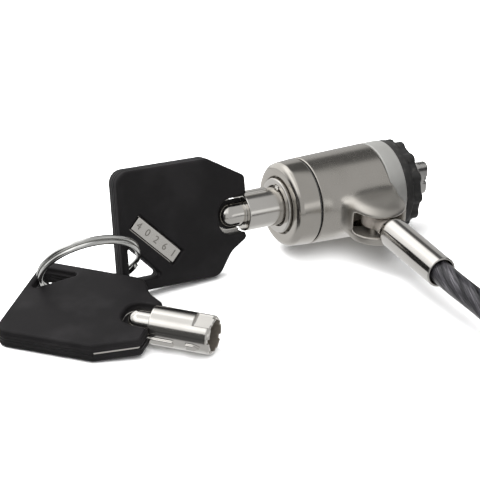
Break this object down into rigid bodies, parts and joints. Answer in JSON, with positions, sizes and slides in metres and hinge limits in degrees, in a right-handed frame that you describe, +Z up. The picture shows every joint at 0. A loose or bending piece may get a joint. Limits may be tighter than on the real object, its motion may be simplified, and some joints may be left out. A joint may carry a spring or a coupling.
{
  "type": "laptop cable lock",
  "caption": "Round T-bar security lock with a swivelling clevis, steel cable with a loop end, and two tubular keys on a split ring.",
  "frame": {"origin": "centre of the rubber bumper's front face, on the lock axis, where the face presses on the device round its security slot", "axes": "+X along the lock towards the T-bar, level with the table; +Z up; +Y away from the cable clevis. The lock axis itself dips by 3.5 degrees towards the T-bar."},
  "size_m": [0.1612, 0.0844, 0.0275],
  "materials": {
    "nickel": "satin nickel plate, worn soft",
    "grey_band": "plain satin grey",
    "dark_washer": "black nylon",
    "rubber_bumper": "matt black rubber",
    "hard_steel": "bright hardened steel",
    "brass_pins": "drawn brass",
    "key_nickel": "bright nickel plate",
    "key_cover": "fine-textured black plastic",
    "ring_steel": "bright spring steel",
    "cable_jacket": "smoky clear vinyl over twisted steel wire",
    "strap_fabric": "black hook and loop strap",
    "crimp_metal": "pressed aluminium"
  },
  "bodies": {
    "lock": {"lock_body": "nickel", "nose_cap": "nickel", "seam_washer": "dark_washer", "front_band": "grey_band", "bumper_ring": "rubber_bumper", "slot_lugs": "hard_steel", "pin_block": "brass_pins", "block_pin": "hard_steel", "driver_pins": "brass_pins", "driver_springs": "hard_steel"},
    "swivel": {"swivel_sleeve": "nickel", "clevis_pin": "hard_steel"},
    "plug_set": {"plug": "nickel", "spindle": "hard_steel", "spindle_clip": "hard_steel", "t_bar": "hard_steel"},
    "pin_set": {"key_pins": "brass_pins"},
    "key_1": {"key_1_barrel": "key_nickel", "key_1_plate": "key_nickel", "key_1_front": "key_cover", "key_1_back": "key_cover"},
    "ring": {"split_ring": "ring_steel"},
    "key_2": {"key_2_barrel": "key_nickel", "key_2_plate": "key_nickel", "key_2_front": "key_cover", "key_2_back": "key_cover"},
    "cable": {"cable_ferrule": "nickel", "cable_run": "cable_jacket", "cable_coil": "cable_jacket", "coil_straps": "strap_fabric", "cable_tail": "cable_jacket", "crimp_sleeve": "crimp_metal", "end_loop": "cable_jacket"}
  },
  "joints": [
    {"name": "sleeve_swivel", "type": "hinge", "parent": "lock", "child": "swivel", "pos_m": [-0.01345, 0, 0.00082], "axis": [0.9981, 0, -0.061], "continuous": true},
    {"name": "ferrule_pivot", "type": "hinge", "parent": "swivel", "child": "cable", "pos_m": [-0.01345, -0.0123, 0.00082], "axis": [0.061, 0, 0.9981], "range_deg": [-45, 45]},
    {"name": "plug_turn", "type": "hinge", "parent": "lock", "child": "plug_set", "pos_m": [-0.02891, 0, 0.00177], "axis": [0.9981, 0, -0.061], "range_deg": [0, 90]},
    {"name": "key_1_pull", "type": "slide", "parent": "plug_set", "child": "key_1", "axis": [-0.9981, 0, 0.061], "range_m": [0, 0.008]},
    {"name": "pin_lift", "type": "slide", "parent": "plug_set", "child": "pin_set", "axis": [-0.9981, 0, 0.061], "range_m": [0, 0.0016]},
    {"name": "ring_swing", "type": "hinge", "parent": "key_1", "child": "ring", "pos_m": [-0.06129, -0.00154, -0.00229], "axis": [-0.1968, 0.5884, -0.7843], "range_deg": [-1, 8]},
    {"name": "key_2_swing", "type": "hinge", "parent": "ring", "child": "key_2", "pos_m": [-0.07825, 0.00294, -0.00441], "axis": [-0.6333, -0.3687, 0.6804], "range_deg": [-16, 0.5]}
  ],
  "couplings": [
    {"joint": "pin_lift", "follows": "key_1_pull", "ratio": 0.2}
  ]
}
